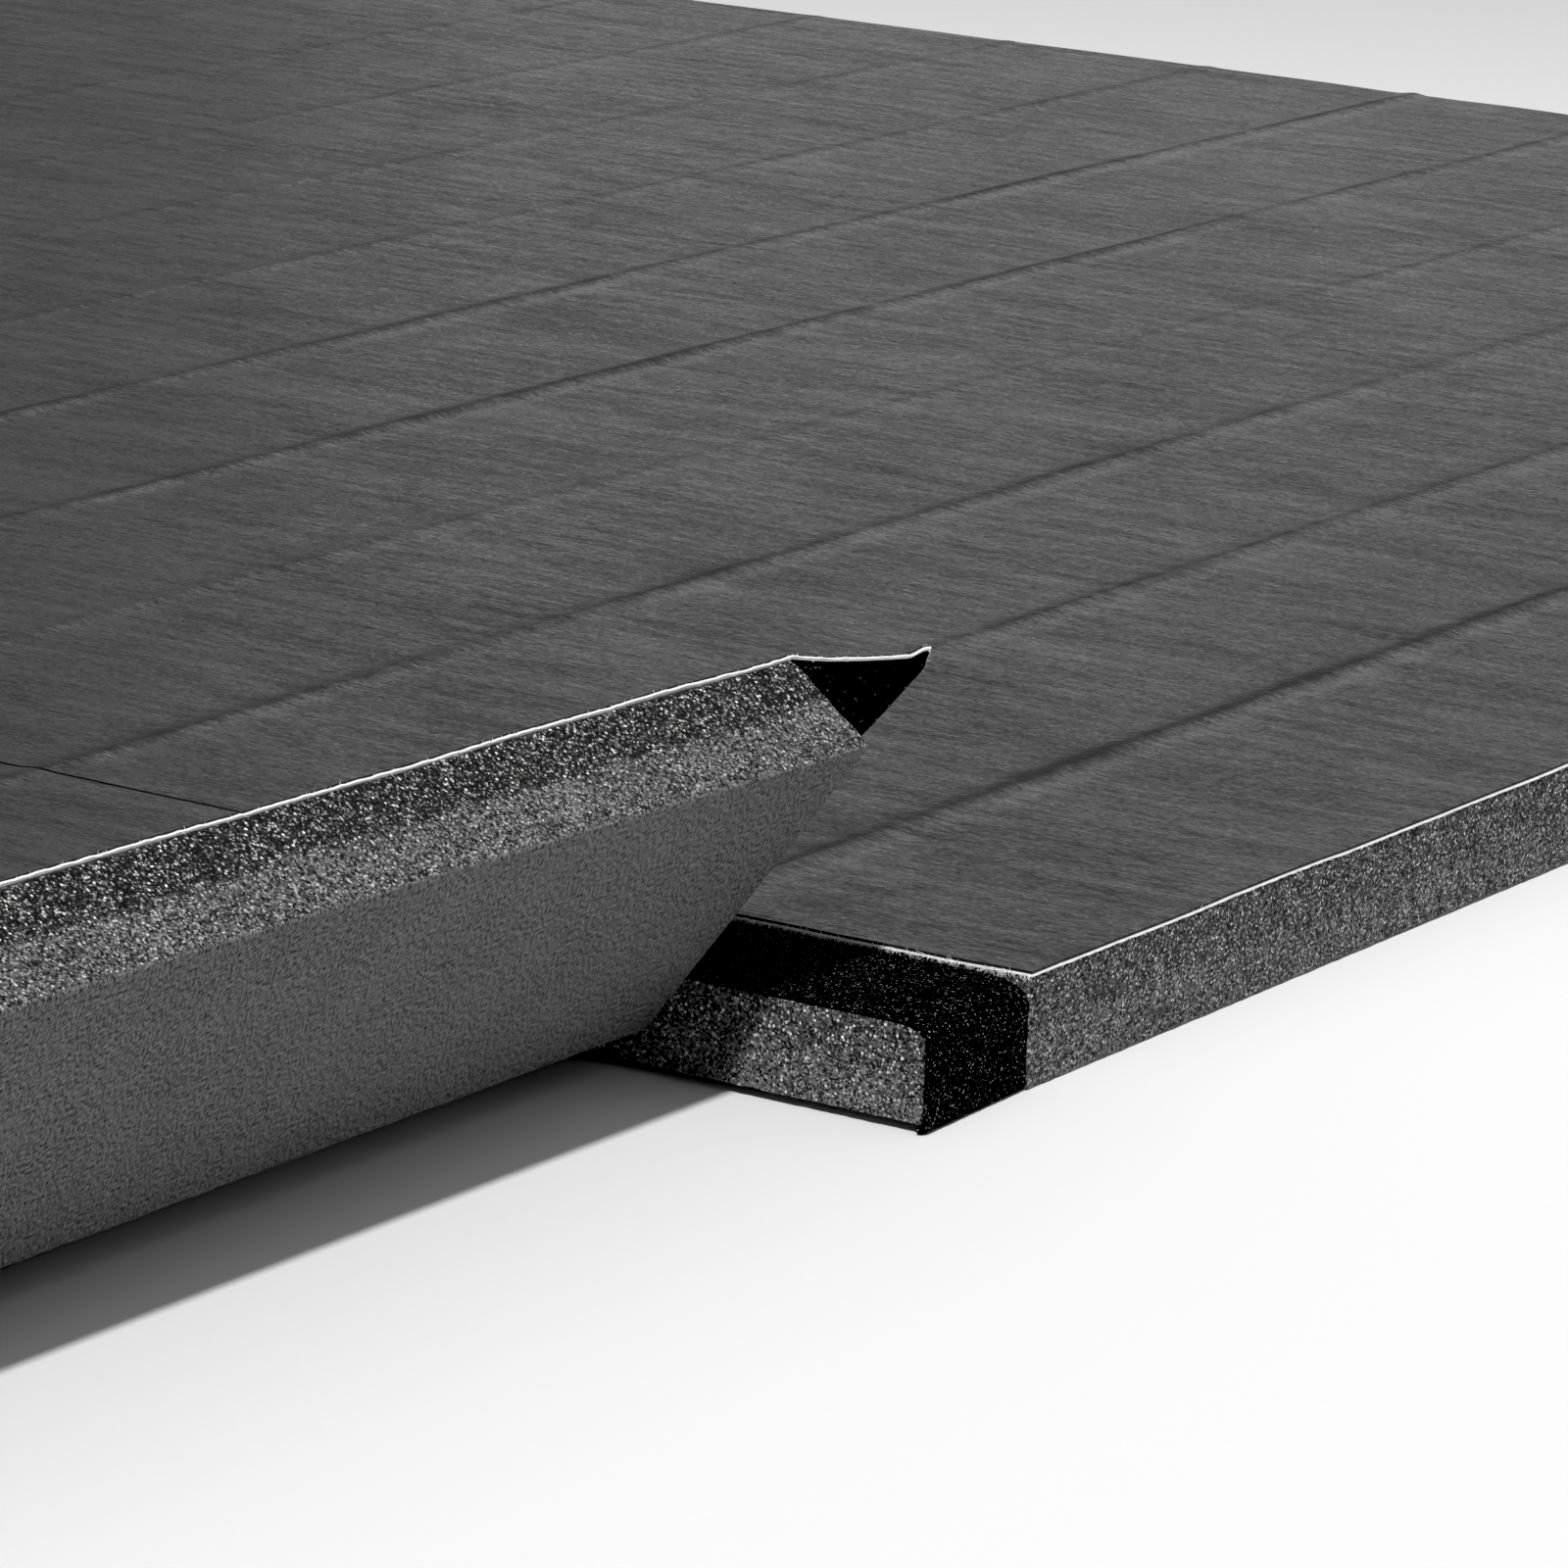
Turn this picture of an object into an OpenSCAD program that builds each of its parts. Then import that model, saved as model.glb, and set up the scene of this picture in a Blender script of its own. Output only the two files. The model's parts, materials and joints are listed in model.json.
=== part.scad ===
// Roll-out gym mat in two sections, closed along the middle by a hook-and-loop lap seam.
// Each section is a foam slab slit from below into strips, and its vinyl cover is the hinge.
// X runs across the two sections, Y along each section, Z up, with the origin on the floor
// under the middle of the seam. Strip 1 is the nearest (lowest Y), and the left section's
// strip 1 stands folded up on its crease, which opens the seam's near end.

/* [Sections] */
// Width of one section, across the seam
section_w = 1524; // [600:2:2000]
// Length of one section, along the seam
section_l = 1524; // [600:2:2000]
// Thickness of the whole mat
mat_t = 35; // [25:1:60]
// Number of strips that the creases make in each section
strips = 13; // [13:1:13]

/* [Foam] */
// Thickness of the lower, finer foam layer
lower_foam_t = 17; // [8:0.5:20]
// Half of the gap that a slit leaves between two strips
slit_half = 0.25; // [0.1:0.05:1]
// Gap that stands for the glue between two layers
glue = 0.1; // [0.05:0.05:0.3]

/* [Cover] */
// Thickness of the vinyl skin
vinyl_t = 1; // [0.5:0.1:2]
// Thickness of the woven backing under the vinyl
scrim_t = 0.4; // [0.2:0.1:1]

/* [Lap seam] */
// How far the bare foam tongue of the right section reaches under the flap
tongue_w = 54; // [30:1:80]
// Gap between the tongue's end and the left section's foam
tongue_gap = 5; // [0.5:0.5:8]
// Width of the hook tape under the flap
hook_w = 50.8; // [25:0.1:60]
// Thickness of the hook tape
hook_t = 1; // [0.5:0.1:2]
// Thickness of the loop pile
loop_t = 1.5; // [0.5:0.1:3]
// Height of the gap between hooks and loops
tape_gap = 0.2; // [0.1:0.1:0.5]
// Gap between the two vinyl edges along the seam
vinyl_gap = 0.6; // [0.2:0.1:3]
// Radius of the foam's rounded edge under the loop pile
tongue_r = 8; // [2:0.5:12]

/* [Raised strip] */
// Angle at which the left section's first strip stands
raised_angle = 53; // [0:1:90]

/* [Hidden] */
$fn = 48;
foam_colour = "#3c3d3d";
lower_colour = "#565757";
vinyl_colour = "#2e2f2f";
scrim_colour = "#e8e8e4";
tape_colour = "#0d0d0e";

pitch = section_l / strips;                          // length of one strip
vinyl_z = mat_t - vinyl_t;                           // underside of the vinyl
scrim_z = vinyl_z - glue - scrim_t;                  // underside of the backing
foam_top = scrim_z - glue;                           // top of the upper foam
hook_z = foam_top - hook_t;                          // tips of the hooks
loop_top = hook_z - tape_gap;                        // top of the loop pile
tongue_top = loop_top - loop_t - glue;               // top of the tongue's bare foam
upper_foam_z = lower_foam_t + glue;                  // underside of the upper foam
left_end = -tongue_w - tongue_gap;                   // seam end of the left section's foam
wrap_skin = loop_t + glue;                           // what the wrap takes off the first tongue

function strip_name(stem, k) = str(stem, k < 10 ? "0" : "", k);
function near_y(k) = -section_l / 2 + (k - 1) * pitch + (k == 1 ? 0 : slit_half);
function far_y(k) = -section_l / 2 + k * pitch - (k == strips ? 0 : slit_half);
function crease_y(k) = -section_l / 2 + k * pitch;

// A flat layer of strip k between two X and two Z values
module layer(k, x, z) {
    translate([x[0], near_y(k), z[0]])
        cube([x[1] - x[0], far_y(k) - near_y(k), z[1] - z[0]]);
}

// Turns the left section's first strip up about its crease, which lies in the top surface
module raised() {
    translate([0, crease_y(1), mat_t]) rotate([-raised_angle, 0, 0])
        translate([0, -crease_y(1), -mat_t]) children();
}

// Left section: full-height foam that stops short of the seam
module left_lower_foam(k) {
    color(lower_colour) layer(k, [-section_w, left_end], [0, lower_foam_t]);
}
module left_upper_foam(k) {
    color(foam_colour) layer(k, [-section_w, left_end], [upper_foam_z, foam_top]);
}

// Left section: the cover reaches over the tongue as a flap, with hook tape under it
module left_scrim(k) {
    color(scrim_colour) layer(k, [-section_w, -vinyl_gap], [scrim_z, vinyl_z - glue]);
}
module left_vinyl(k) {
    color(vinyl_colour) layer(k, [-section_w, -vinyl_gap], [vinyl_z, mat_t]);
}
module left_hook_tape(k) {
    hook_end = -(tongue_w - hook_w) / 2;
    color(tape_colour) layer(k, [hook_end - hook_w, hook_end], [hook_z, foam_top - glue / 2]);
}

// Right section: foam with a lower tongue that reaches under the flap
module right_lower_foam(k) {
    color(lower_colour) layer(k, [-tongue_w, section_w], [0, lower_foam_t]);
}
module right_upper_foam(k) {
    color(foam_colour) union() {
        layer(k, [0, section_w], [upper_foam_z, foam_top]);
        layer(k, [-tongue_w, 1], [upper_foam_z, tongue_top]);
    }
}
module right_scrim(k) {
    color(scrim_colour) layer(k, [0, section_w], [scrim_z, vinyl_z - glue]);
}
module right_vinyl(k) {
    color(vinyl_colour) layer(k, [0, section_w], [vinyl_z, mat_t]);
}
module right_loop_tape(k) {
    color(tape_colour) layer(k, [-tongue_w, -glue], [tongue_top + glue, loop_top]);
}

// Cross-section of a slab with its near top edge rounded, from near to far and bottom to top
module rounded_slab(near, far, bottom, top, r) {
    union() {
        translate([near, bottom]) square([far - near, top - r - bottom]);
        translate([near + r, bottom]) square([far - near - r, top - bottom]);
        translate([near + r, top - r]) circle(r);
    }
}

// Carries a cross-section drawn in Y and Z along X
module along_x(x0, x1) {
    translate([x0, 0, 0]) rotate([90, 0, 90]) linear_extrude(x1 - x0) children();
}

// The whole tongue of the right section's first strip, rounded along its near top edge
module first_tongue(z0, z1) {
    intersection() {
        along_x(-tongue_w, 0)
            rounded_slab(near_y(1) + wrap_skin, far_y(1), wrap_skin, tongue_top, tongue_r);
        layer(1, [-tongue_w - 1, 1], [z0, z1]);
    }
}

module right_lower_foam_01() {
    color(lower_colour) union() {
        layer(1, [0, section_w], [0, lower_foam_t]);
        first_tongue(0, lower_foam_t);
    }
}

module right_upper_foam_01() {
    color(foam_colour) union() {
        layer(1, [0, section_w], [upper_foam_z, foam_top]);
        first_tongue(upper_foam_z, mat_t);
    }
}

// Loop pile over the top of the tongue's first strip, down its near side and tucked under it
module right_loop_wrap_01() {
    color(tape_colour) along_x(-tongue_w, -glue) difference() {
        rounded_slab(near_y(1), far_y(1), 0, loop_top, tongue_r + wrap_skin);
        rounded_slab(near_y(1) + loop_t, far_y(1) + 1, loop_t, tongue_top + glue, tongue_r + glue);
    }
}

module left_foam(k) {
    left_lower_foam(k);
    left_upper_foam(k);
}

module left_cover(k) {
    left_scrim(k);
    left_vinyl(k);
    left_hook_tape(k);
}

module right_foam(k) {
    right_lower_foam(k);
    right_upper_foam(k);
}

module right_cover(k) {
    right_scrim(k);
    right_vinyl(k);
    right_loop_tape(k);
}

raised() left_lower_foam(1);  // left_lower_foam_01
raised() left_upper_foam(1);  // left_upper_foam_01
raised() left_scrim(1);  // left_scrim_01
raised() left_vinyl(1);  // left_vinyl_01
raised() left_hook_tape(1);  // left_hook_tape_01
right_lower_foam_01();
right_upper_foam_01();
right_scrim(1);  // right_scrim_01
right_vinyl(1);  // right_vinyl_01
right_loop_wrap_01();
for (k = [2:strips]) {
    left_foam(k);
    left_cover(k);
    right_foam(k);
    right_cover(k);
}
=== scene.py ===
"""Roll-out gym mat in two sections, with the near end of its hook-and-loop seam folded open.

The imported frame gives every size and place. Each strip of each section gets its foam, its woven
backing, its vinyl skin and its tape as surfaces worked out on grids. A shape is worked out in the
mat's flat layout, which the attribute "lay" keeps for the materials, and is then folded up where
the frame holds the strip raised.
"""
import json  # noqa: E402
import math  # noqa: E402

import bpy  # noqa: E402
import numpy as np  # noqa: E402
from mathutils import Matrix, Vector  # noqa: E402

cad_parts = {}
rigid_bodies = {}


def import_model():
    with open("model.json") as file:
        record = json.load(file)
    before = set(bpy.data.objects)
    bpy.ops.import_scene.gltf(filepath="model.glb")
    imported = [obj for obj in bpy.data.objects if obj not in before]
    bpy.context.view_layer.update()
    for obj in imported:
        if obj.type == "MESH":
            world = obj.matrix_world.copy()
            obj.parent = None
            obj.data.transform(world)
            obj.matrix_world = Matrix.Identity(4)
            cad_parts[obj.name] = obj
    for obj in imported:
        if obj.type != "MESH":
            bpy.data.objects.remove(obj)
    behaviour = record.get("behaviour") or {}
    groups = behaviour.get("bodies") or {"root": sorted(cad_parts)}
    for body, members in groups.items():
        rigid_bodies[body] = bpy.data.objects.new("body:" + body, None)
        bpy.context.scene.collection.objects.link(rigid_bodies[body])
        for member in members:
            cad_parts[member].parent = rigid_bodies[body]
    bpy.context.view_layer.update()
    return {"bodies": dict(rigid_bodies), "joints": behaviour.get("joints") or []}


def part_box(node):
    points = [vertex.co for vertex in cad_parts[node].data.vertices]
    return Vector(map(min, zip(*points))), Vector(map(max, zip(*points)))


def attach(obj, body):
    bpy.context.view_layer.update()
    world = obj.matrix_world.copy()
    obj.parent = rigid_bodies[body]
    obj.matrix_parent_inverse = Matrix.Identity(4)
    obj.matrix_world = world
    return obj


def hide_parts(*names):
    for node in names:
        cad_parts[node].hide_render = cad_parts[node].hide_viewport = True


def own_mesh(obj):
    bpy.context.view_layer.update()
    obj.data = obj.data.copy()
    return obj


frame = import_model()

bl_info = {
    "name": "Roll-out gym mat",
    "version": (1, 0, 0),
    "blender": (4, 5, 0),
    "location": "View3D > Sidebar > Gym mat",
    "description": "Builds the foam, vinyl, tapes and stage of a roll-out gym mat on its frame",
    "category": "Object",
}

MM = 0.001
SECTIONS = ("left", "right")
JOINTS = {joint["name"]: joint for joint in frame["joints"]}
STRIPS = sum(1 for body in frame["bodies"] if body.startswith("left_"))
CREASES = [JOINTS[f"left_crease_{k:02d}"]["pos_m"][1] for k in range(1, STRIPS)]
TOP = JOINTS["left_crease_01"]["pos_m"][2]
RAISE = math.radians(-JOINTS["left_crease_01"]["range_deg"][0])
NEAR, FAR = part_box("right_vinyl_01")[0].y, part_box("right_cover_13")[1].y
SIDE = {"left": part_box("left_cover_02")[0].x, "right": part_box("right_cover_02")[1].x}
LEFT_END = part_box("left_foam_02")[1].x
FLAP_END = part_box("left_cover_02")[1].x
TONGUE_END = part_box("right_foam_02")[0].x
LOOP_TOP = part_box("right_loop_wrap_01")[1].z
HOOK_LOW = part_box("left_cover_02")[0].z
LAYER_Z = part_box("right_lower_foam_01")[1].z
TONGUE_REACH = 2.5 * MM  # how much further the first tongue reaches than the others
# How strongly each crease shows, counted from the near edge: it sets the pucker's height and the
# strength of the painted shade and highlight at the crease
CREASE_SHARPNESS = (0.95, 0.65, 0.7, 0.3, 1.0, 0.75, 0.35, 0.25, 0.3, 0.25, 0.3, 0.25)


# Sizes and colours that a user may change

def size(text, value, low, high):
    """A length in metres with its range."""
    return bpy.props.FloatProperty(
        name=text, description=text, default=value, min=low, max=high, unit="LENGTH", precision=5
    )


def grey(text, value):
    """A neutral colour given by one level."""
    return bpy.props.FloatVectorProperty(
        name=text, description=text, default=(value, value, value), min=0, max=1, subtype="COLOR"
    )


def number(text, description, value, high):
    """A plain number from 0 to its limit."""
    return bpy.props.FloatProperty(
        name=text, description=description, default=value, min=0, max=high
    )


def angle(text, description, degrees):
    """An angle, given in degrees."""
    return bpy.props.FloatProperty(
        name=text, description=description, default=math.radians(degrees), subtype="ANGLE"
    )


class MatSkin(bpy.types.PropertyGroup):
    """Vinyl skin and its woven backing."""

    thickness: size("Thickness of the vinyl", 0.9 * MM, 0.3 * MM, 2 * MM)
    backing: size("Thickness of the woven backing", 0.6 * MM, 0.2 * MM, 1 * MM)
    ridge: size("Height of the pucker at a crease", 0.9 * MM, 0, 2 * MM)
    ridge_near: size("Width of a pucker's near slope", 7 * MM, 3 * MM, 20 * MM)
    ridge_far: size("Width of a pucker's far slope", 11 * MM, 3 * MM, 30 * MM)
    trough: size("Depth of the dip behind a pucker", 0.5 * MM, 0, 2 * MM)
    recover: size("Length over which the dip fills", 45 * MM, 10 * MM, 58 * MM)
    wave: size("Unevenness of the surface", 0.22 * MM, 0, 1 * MM)
    shy: size("How far the closed flap stops short of the seam", 1.2 * MM, 0, 5 * MM)
    droop: angle("Droop", "Angle at which the open flap leaves the foam's end", 18.5)
    colour: grey("Vinyl", 0.014)
    backing_colour: grey("Woven backing", 0.95)


class MatFoam(bpy.types.PropertyGroup):
    """Laminated foam strips."""

    edge: size("Radius of the cut edges", 0.7 * MM, 0.2 * MM, 4 * MM)
    rough: size("Depth of the rough cut", 0.35 * MM, 0, 1 * MM)
    shoulder_w: size("Width of the tongue's shoulder", 15 * MM, 2 * MM, 25 * MM)
    shoulder_h: size("Height of the tongue's shoulder", 8 * MM, 2 * MM, 14 * MM)
    upper: grey("Upper foam", 0.013)
    lower: grey("Lower foam", 0.066)
    under: grey("Underside", 0.125)
    cell: size("Size of a cut cell", 0.65 * MM, 0.4 * MM, 3 * MM)


class MatTape(bpy.types.PropertyGroup):
    """Hook tape and loop pile."""

    hook_pitch: size("Distance between hooks", 2.2 * MM, 1 * MM, 5 * MM)
    hook_size: size("Width of a hook", 0.45 * MM, 0.2 * MM, 1 * MM)
    pile: size("Depth of the pile's unevenness", 0.3 * MM, 0, 1 * MM)
    tufts: bpy.props.IntProperty(
        name="Tufts", description="Number of loose loops on the pile", default=2600, min=0, max=6000
    )
    colour: grey("Tape", 0.0015)


class MatStage(bpy.types.PropertyGroup):
    """Floor, light and camera."""

    floor: grey("Floor", 0.8)
    # painted light falloff: share of the floor's colour left far along the view
    falloff: number("Falloff", "Share of the floor's colour left beyond the mat", 0.6, 1)
    sky: grey("Sky", 0.5)
    horizon: grey("Horizon", 0.2)
    sun: number("Sun", "Strength of the key light", 3.3, 20)
    soft: number("Soft box", "Power in watts of the soft box beyond the mat", 6, 200)
    black: number("Black level", "Light level that the picture shows as black", 0.01, 0.1)
    lens: number("Lens", "Focal length of the camera in mm", 170.84, 400)
    place: bpy.props.FloatVectorProperty(
        name="Camera", description="Place of the camera", default=(-1.7228, -1.7794, 0.586),
        subtype="TRANSLATION",
    )
    heading: angle("Heading", "Turn of the view from +X towards +Y", 32.6)
    dip: angle("Dip", "Angle of the view below the horizon", 14.04)
    roll: angle("Roll", "Roll of the camera", 2.16)


# Shader maths

class Term:
    """A number that varies over a surface: an output socket with the usual operators."""

    def __init__(self, recipe, socket):
        self.recipe = recipe
        self.socket = socket

    def _math(self, operation, *values):
        return self.recipe.node("ShaderNodeMath", {"operation": operation}, *values).term()

    def __add__(self, other):
        return self._math("ADD", self, other)

    def __sub__(self, other):
        return self._math("SUBTRACT", self, other)

    def __rsub__(self, other):
        return self._math("SUBTRACT", other, self)

    def __mul__(self, other):
        return self._math("MULTIPLY", self, other)

    def __truediv__(self, other):
        return self._math("DIVIDE", self, other)

    def __rtruediv__(self, other):
        return self._math("DIVIDE", other, self)

    def __pow__(self, other):
        return self._math("POWER", self, other)

    __radd__ = __add__
    __rmul__ = __mul__

    def above(self, edge, soft):
        """0 below edge - soft, 1 above edge + soft, and a smooth step between."""
        settings = {"interpolation_type": "SMOOTHSTEP"}
        step = self.recipe.node("ShaderNodeMapRange", settings, self, edge - soft, edge + soft, 0, 1)
        return step.term()

    def below(self, edge, soft):
        """1 below the edge and 0 above it."""
        return 1 - self.above(edge, soft)


class Made:
    """A node that was added, with its outputs at hand."""

    def __init__(self, recipe, node):
        self.recipe = recipe
        self.node = node

    def term(self, output=0):
        return Term(self.recipe, self.node.outputs[output])


class Recipe:
    """One material: adds nodes, and links or sets their inputs."""

    def __init__(self, name):
        self.material = bpy.data.materials.new(f"finish_{name}")
        self.material.use_nodes = True
        self.tree = self.material.node_tree
        self.shader = self.tree.nodes["Principled BSDF"]

    def node(self, kind, settings=None, *values, **named):
        """Adds a node: its settings first, then its inputs in order and by name."""
        node = self.tree.nodes.new(kind)
        for key, value in (settings or {}).items():
            setattr(node, key, value)
        for place, value in [*enumerate(values), *named.items()]:
            if value is not None:
                self.give(node.inputs[place], value)
        return Made(self, node)

    def give(self, socket, value):
        """Links a term to a socket, or sets the socket to a plain value."""
        if isinstance(value, Made):
            value = value.term()
        if isinstance(value, Term):
            self.tree.links.new(value.socket, socket)
        elif isinstance(value, (tuple, list)) and socket.type == "RGBA" and len(value) == 3:
            socket.default_value = (*value, 1)
        else:
            socket.default_value = value

    def lay(self, stretch=(1, 1, 1)):
        """The flat layout's coordinates in metres, times a stretch along each axis."""
        place = self.node("ShaderNodeAttribute", {"attribute_name": "lay"}).term("Vector")
        return self.node("ShaderNodeVectorMath", {"operation": "MULTIPLY"}, place, stretch).term()

    def number(self, name):
        """A number that the mesh carries at each point."""
        return self.node("ShaderNodeAttribute", {"attribute_name": name}).term("Fac")

    def axis(self, vector, letter):
        """One coordinate of a vector."""
        return self.node("ShaderNodeSeparateXYZ", None, vector).term(letter)

    def noise(self, vector, detail=2.0, roughness=0.5):
        """Soft noise from 0 to 1, one blotch for each unit of the vector."""
        made = self.node("ShaderNodeTexNoise", None, Vector=vector, Scale=1.0, Detail=detail)
        self.give(made.node.inputs["Roughness"], roughness)
        return made.term("Fac")

    def cells(self, vector):
        """A random number from 0 to 1 for each cell, and the distance to the cell's middle."""
        made = self.node("ShaderNodeTexVoronoi", None, Vector=vector, Scale=1.0)
        colour = self.node("ShaderNodeSeparateColor", None, made.term("Color")).term("Red")
        return colour, made.term("Distance")

    def blend(self, share, first, second):
        """A colour between two, by a share from 0 to 1."""
        mix = self.node("ShaderNodeMix", {"data_type": "RGBA"})
        for socket, value in ((0, share), (6, first), (7, second)):
            self.give(mix.node.inputs[socket], value)
        return mix.term(2)

    def bump(self, height, distance, strength=1.0):
        """A normal tilted by a height field."""
        made = self.node("ShaderNodeBump", None, Strength=strength, Distance=distance, Height=height)
        return made.term("Normal")

    def finish(self, colour, roughness, normal=None, **fixed):
        """Sets the surface's colour, roughness and normal, and fixed values on its shader."""
        self.give(self.shader.inputs["Base Color"], colour)
        self.give(self.shader.inputs["Roughness"], roughness)
        if normal is not None:
            self.give(self.shader.inputs["Normal"], normal)
        for name, value in fixed.items():
            self.shader.inputs[name.replace("_", " ")].default_value = value
        return self.material


def scaled(colour, factor):
    """A colour made lighter or darker."""
    return tuple(min(1.0, channel * factor) for channel in colour)


def vinyl_material(skin):
    """Charcoal vinyl: fine dashes along Y, longer soft wrinkles, faint clouds, and the painted shade and
    highlight that the points carry at creases and cut edges. Much of its brightness is the sky that it
    reflects, so roughness carries the marks too."""
    m = Recipe("vinyl")
    dashes = m.noise(m.lay((1500, 190, 300)), 3, 0.65) - 0.5
    strokes = m.noise(m.lay((420, 45, 60)), 3, 0.6) - 0.5
    wrinkles = m.noise(m.lay((140, 15, 20)), 2, 0.55) - 0.5
    clouds = (m.noise(m.lay((16, 7, 3)), 3, 0.55) + m.noise(m.lay((55, 13, 3)), 2, 0.6)) - 1
    # painted shade and highlight at creases and cut edges: it darkens or lightens the colour and changes
    # the roughness
    tone = m.number("tone")
    pits = m.noise(m.lay((1300, 520, 300)), 2, 0.6) - 0.5
    grain = dashes * 2.4 + pits * 2.0 + strokes * 1.0 + wrinkles * 0.9
    level = (grain + clouds * 0.9 + 0.5) * tone
    base = tuple(skin.colour)
    colour = m.blend(level, scaled(base, 0.1), scaled(base, 1.9))
    rough = 0.42 - grain * 0.36 - clouds * 0.12 - (tone - 1) * 0.3
    height = dashes * 0.6 + pits * 0.4 + strokes * 0.5 + wrinkles * 1.5
    return m.finish(colour, rough, m.bump(height, 0.5 * MM, 0.7), IOR=1.5)


def backing_material(skin):
    """White woven backing: two crossed sets of threads."""
    m = Recipe("backing")
    warp, weft = (
        m.node("ShaderNodeTexWave", {"wave_type": "BANDS", "bands_direction": letter},
               Vector=m.lay(), Scale=310.0, Distortion=1.2).term("Fac")
        for letter in "XY"
    )
    weave = warp * weft
    base = tuple(skin.backing_colour)
    colour = m.blend(weave, scaled(base, 0.8), scaled(base, 1.05))
    return m.finish(colour, 0.9, m.bump(weave, 0.2 * MM, 0.6))


def painted_glints(m, cell, power):
    """A number for each cell that is near 0 in most cells and near 1 in a few, fading towards the cell's
    border. It sets how much of a painted glint the cell's colour takes."""
    shade, middle = m.cells(m.lay((1 / cell,) * 3))
    return shade ** power * middle.below(0.45, 0.3)


def foam_material(foam):
    """Cut closed-cell foam: dark cells above, finer lighter cells below, painted glints on a few cells,
    matt underside.
    """
    m = Recipe("foam")
    height = m.axis(m.lay(), "Z")
    border = height + (m.noise(m.lay((60, 60, 60)), 2) - 0.5) * 9 * MM
    # the left section's upper foam is darker than the right's
    left = 0.4 + 0.6 * m.axis(m.lay(), "X").below(LEFT_END + 1.5 * MM, 0.5 * MM)
    upper = border.above(LAYER_Z, 2.2 * MM) * left
    large = painted_glints(m, foam.cell * 1.4, 10)
    small = painted_glints(m, foam.cell, 7)
    pores, _ = m.cells(m.lay((1 / foam.cell,) * 3))
    mottle = m.noise(m.lay((0.35 / foam.cell,) * 3), 3, 0.65)
    dark = m.blend(pores * mottle, scaled(foam.upper, 0.1), scaled(foam.upper, 3.2))
    grit = pores * 1.5 + mottle * 1.4 - 0.95
    light = m.blend(grit, scaled(foam.lower, 0.1), scaled(foam.lower, 2.1))
    cut = m.blend(upper, light, dark)
    # painted glints: a few cells are painted near white, standing in for cell walls that catch the light
    cut = m.blend(large * (upper * 0.5 + 0.7) + small * 0.6, cut, (0.95, 0.95, 0.94))
    # the moulded underside has a short nap that leans along Y
    nap = m.noise(m.lay((2300, 650, 800)), 2, 0.65)
    rubbed = m.noise(m.lay((30, 30, 30)), 2)
    worn = (nap - 0.5) * 7 + rubbed * 0.3 + 0.35
    under = m.blend(worn, scaled(foam.under, 0.15), scaled(foam.under, 1.85))
    low = height.below(0.9 * MM, 0.5 * MM)
    colour = m.blend(low, cut, under)
    relief = pores * 0.8 + mottle * 0.8
    bump = m.bump(relief * (1 - low) + nap * low * 1.5, 0.8 * MM, 0.8)
    return m.finish(colour, 0.85, bump, IOR=1.3)


def tape_material(tape, name, cell, power):
    """Black tape: nearly every fibre drinks the light, and a few cells are painted light grey as painted
    glints.
    """
    m = Recipe(name)
    glint_share = painted_glints(m, cell, power)
    pile = m.noise(m.lay((700, 700, 700)), 3, 0.7)
    plain = m.blend(pile, scaled(tape.colour, 0.2), scaled(tape.colour, 1.8))
    # painted glints on a few cells
    colour = m.blend(glint_share, plain, (0.6, 0.6, 0.6))
    return m.finish(colour, 1.0, m.bump(pile, 0.6 * MM, 0.8), IOR=1.02)


def floor_material(stage):
    """Pale painted floor with the faintest mottling. Its colour darkens along the view, as painted light
    falloff away from the lamp.
    """
    m = Recipe("floor")
    place = m.node("ShaderNodeTexCoord").term("Object")
    spread = m.node("ShaderNodeVectorMath", {"operation": "MULTIPLY"}, place, (300, 300, 300)).term()
    mottle, fine = m.noise(place, 3), m.noise(spread, 2)
    # painted light falloff: distance along the view, beyond which the colour fades towards its falloff
    # share
    away = m.axis(place, "X") * 0.82 + m.axis(place, "Y") * 0.53
    near = m.blend(mottle * 0.6 + fine * 0.4, scaled(stage.floor, 0.975), scaled(stage.floor, 1.02))
    colour = m.blend(away.above(1.3, 1.0), near, scaled(stage.floor, stage.falloff))
    return m.finish(colour, 0.85, m.bump(fine, 0.2 * MM, 0.15), IOR=1.2)


def material(name):
    """A finish by name, made once."""
    found = bpy.data.materials.get(f"finish_{name}")
    if found:
        return found
    scene = bpy.context.scene
    makers = {
        "vinyl": lambda: vinyl_material(scene.mat_skin),
        "backing": lambda: backing_material(scene.mat_skin),
        "foam": lambda: foam_material(scene.mat_foam),
        "hook_tape": lambda: tape_material(scene.mat_tape, "hook_tape", 0.8 * MM, 70),
        "loop_pile": lambda: tape_material(scene.mat_tape, "loop_pile", 0.48 * MM, 20),
        "floor": lambda: floor_material(scene.mat_stage),
    }
    return makers[name]()


# Surfaces

def mixed_bits(x, y, z, seed):
    """A repeatable random number from 0 to 1 for each whole-numbered lattice point."""
    bits = (x * 374761393 + y * 668265263 + z * 2147483647 + seed * 144665) & 0xFFFFFFFF
    bits = ((bits ^ (bits >> 13)) * 1274126177) & 0xFFFFFFFF
    return ((bits ^ (bits >> 16)) & 0xFFFFFF) / float(0xFFFFFF)


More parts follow.
